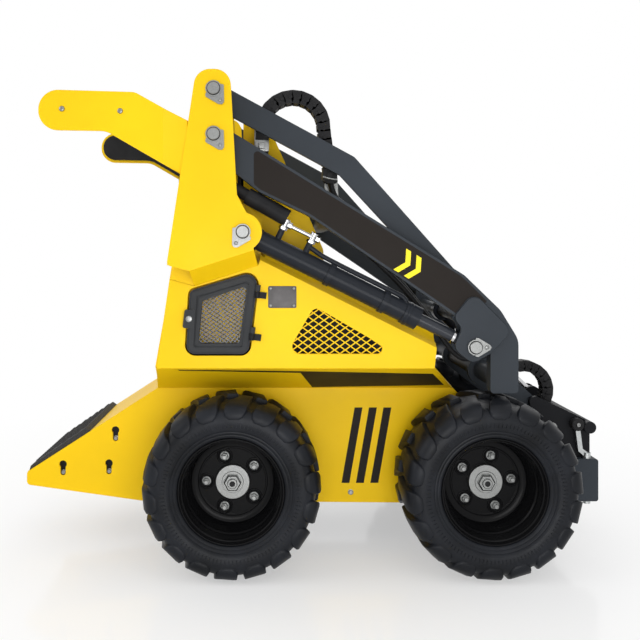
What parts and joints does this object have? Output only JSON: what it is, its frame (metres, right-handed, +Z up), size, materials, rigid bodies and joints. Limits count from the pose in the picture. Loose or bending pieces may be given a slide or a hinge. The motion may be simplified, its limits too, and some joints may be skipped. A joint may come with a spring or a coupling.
{
  "type": "mini loader",
  "caption": "Wheeled walk-behind mini loader with self-levelling lift arms, quick-attach coupler, hinged mesh doors and lugged tyres, for moving soil and pallets with attachments.",
  "frame": {"origin": "on the ground, under the middle of the machine's overall length and width", "axes": "+X forwards to the coupler, +Y to the machine's left, +Z up"},
  "size_m": [1.735, 0.98, 1.409],
  "materials": {
    "yellow_paint": "semi-gloss",
    "dark_grey_paint": "satin",
    "black_paint": "satin",
    "gloss_black_rim": "gloss",
    "tyre_rubber": "matte",
    "bright_steel": "zinc plated",
    "black_plastic": "matte",
    "engine_grey": "rough"
  },
  "bodies": {
    "chassis": {"chassis_plates": "yellow_paint", "belly_plate": "black_paint", "engine_block": "engine_grey", "tail_cover": "yellow_paint", "foot_step": "black_paint", "nose_cover": "black_paint", "side_panels": "yellow_paint", "vent_grilles": "yellow_paint", "door_hinges": "black_paint", "rear_wall": "yellow_paint", "front_fascia": "black_paint", "deck": "black_paint", "hood": "yellow_paint", "console": "black_paint", "control_levers": "black_plastic", "towers": "yellow_paint", "tower_pins": "bright_steel", "hand_guards": "yellow_paint", "guard_pads": "black_plastic", "grab_bar": "black_paint", "spindles": "black_paint", "hood_bracket": "bright_steel", "rear_carrier": "black_plastic"},
    "lift_arm": {"lift_arms": "dark_grey_paint", "arm_cross_tubes": "dark_grey_paint", "arm_pins": "bright_steel", "carrier_bracket": "bright_steel", "front_carrier": "black_plastic"},
    "link_right": {"link_right": "dark_grey_paint"},
    "link_left": {"link_left": "dark_grey_paint"},
    "level_lever": {"level_lever": "dark_grey_paint"},
    "coupler_shaft": {"coupler_shaft": "bright_steel"},
    "coupler": {"coupler_frame": "dark_grey_paint", "lock_boxes": "dark_grey_paint", "lock_pins": "bright_steel"},
    "tilt_barrel": {"tilt_barrel": "black_paint"},
    "tilt_rod": {"tilt_rod": "bright_steel"},
    "lift_barrel_right": {"lift_barrel_right": "black_paint"},
    "lift_barrel_left": {"lift_barrel_left": "black_paint"},
    "lift_rod_right": {"lift_rod_right": "bright_steel"},
    "lift_rod_left": {"lift_rod_left": "bright_steel"},
    "door_right": {"door_right": "black_paint"},
    "door_left": {"door_left": "black_paint"},
    "wheel_rear_right": {"tyre_rear_right": "tyre_rubber", "rim_rear_right": "gloss_black_rim"},
    "wheel_rear_left": {"tyre_rear_left": "tyre_rubber", "rim_rear_left": "gloss_black_rim"},
    "wheel_front_right": {"tyre_front_right": "tyre_rubber", "rim_front_right": "gloss_black_rim"},
    "wheel_front_left": {"tyre_front_left": "tyre_rubber", "rim_front_left": "gloss_black_rim"}
  },
  "joints": [
    {"name": "wheel_rear_right_spin", "type": "hinge", "parent": "chassis", "child": "wheel_rear_right", "pos_m": [-0.232, -0.365, 0.25], "axis": [0, 1, 0], "continuous": true},
    {"name": "wheel_rear_left_spin", "type": "hinge", "parent": "chassis", "child": "wheel_rear_left", "pos_m": [-0.232, 0.365, 0.25], "axis": [0, 1, 0], "continuous": true},
    {"name": "wheel_front_right_spin", "type": "hinge", "parent": "chassis", "child": "wheel_front_right", "pos_m": [0.488, -0.365, 0.25], "axis": [0, 1, 0], "continuous": true},
    {"name": "wheel_front_left_spin", "type": "hinge", "parent": "chassis", "child": "wheel_front_left", "pos_m": [0.488, 0.365, 0.25], "axis": [0, 1, 0], "continuous": true},
    {"name": "lift", "type": "hinge", "parent": "chassis", "child": "lift_arm", "pos_m": [-0.281, 0, 1.229], "axis": [0, -1, 0], "range_deg": [0, 72], "deforming": ["rear_carrier"]},
    {"name": "link_right_pivot", "type": "hinge", "parent": "chassis", "child": "link_right", "pos_m": [-0.281, -0.353, 1.354], "axis": [0, -1, 0], "range_deg": [0, 72]},
    {"name": "link_left_pivot", "type": "hinge", "parent": "chassis", "child": "link_left", "pos_m": [-0.281, 0.353, 1.354], "axis": [0, -1, 0], "range_deg": [0, 72]},
    {"name": "level_lever_pivot", "type": "hinge", "parent": "lift_arm", "child": "level_lever", "pos_m": [0.444, 0, 0.64], "axis": [0, 1, 0], "range_deg": [0, 72]},
    {"name": "coupler_shaft_level", "type": "hinge", "parent": "lift_arm", "child": "coupler_shaft", "pos_m": [0.736, 0, 0.367], "axis": [0, 1, 0], "range_deg": [0, 72]},
    {"name": "tilt", "type": "hinge", "parent": "coupler_shaft", "child": "coupler", "pos_m": [0.736, 0, 0.367], "axis": [0, 1, 0], "range_deg": [-25, 45]},
    {"name": "tilt_barrel_swing", "type": "hinge", "parent": "level_lever", "child": "tilt_barrel", "pos_m": [0.444, 0, 0.71], "axis": [0, -1, 0], "range_deg": [0, 72]},
    {"name": "tilt_rod_slide", "type": "slide", "parent": "tilt_barrel", "child": "tilt_rod", "axis": [0.7305, 0, -0.6829], "range_m": [-0.02858, 0.05105]},
    {"name": "lift_barrel_right_swing", "type": "hinge", "parent": "chassis", "child": "lift_barrel_right", "pos_m": [-0.201, -0.4, 0.96], "axis": [0, -1, 0], "range_deg": [0, 74.19]},
    {"name": "lift_rod_right_slide", "type": "slide", "parent": "lift_barrel_right", "child": "lift_rod_right", "axis": [0.8958, 0, -0.4444], "range_m": [0, 0.32875]},
    {"name": "lift_barrel_left_swing", "type": "hinge", "parent": "chassis", "child": "lift_barrel_left", "pos_m": [-0.201, 0.4, 0.96], "axis": [0, -1, 0], "range_deg": [0, 74.19]},
    {"name": "lift_rod_left_slide", "type": "slide", "parent": "lift_barrel_left", "child": "lift_rod_left", "axis": [0.8958, 0, -0.4444], "range_m": [0, 0.32875]},
    {"name": "door_right_hinge", "type": "hinge", "parent": "chassis", "child": "door_right", "pos_m": [-0.18303, -0.3995, 0.6155], "axis": [0.1256, 0, 0.9921], "range_deg": [0, 100]},
    {"name": "door_left_hinge", "type": "hinge", "parent": "chassis", "child": "door_left", "pos_m": [-0.18303, 0.3995, 0.6155], "axis": [-0.1256, 0, -0.9921], "range_deg": [0, 100]}
  ],
  "couplings": [
    {"joint": "link_right_pivot", "follows": "lift", "ratio": 1},
    {"joint": "link_left_pivot", "follows": "lift", "ratio": 1},
    {"joint": "level_lever_pivot", "follows": "lift", "ratio": 1},
    {"joint": "coupler_shaft_level", "follows": "lift", "ratio": 1},
    {"joint": "tilt_barrel_swing", "follows": "lift", "ratio": 1},
    {"joint": "tilt_rod_slide", "follows": "tilt", "m_per_rad": 0.064365},
    {"joint": "lift_barrel_right_swing", "follows": "lift", "ratio": 1.0303},
    {"joint": "lift_rod_right_slide", "follows": "lift", "m_per_rad": 0.26122},
    {"joint": "lift_barrel_left_swing", "follows": "lift", "ratio": 1.0303},
    {"joint": "lift_rod_left_slide", "follows": "lift", "m_per_rad": 0.26122}
  ]
}
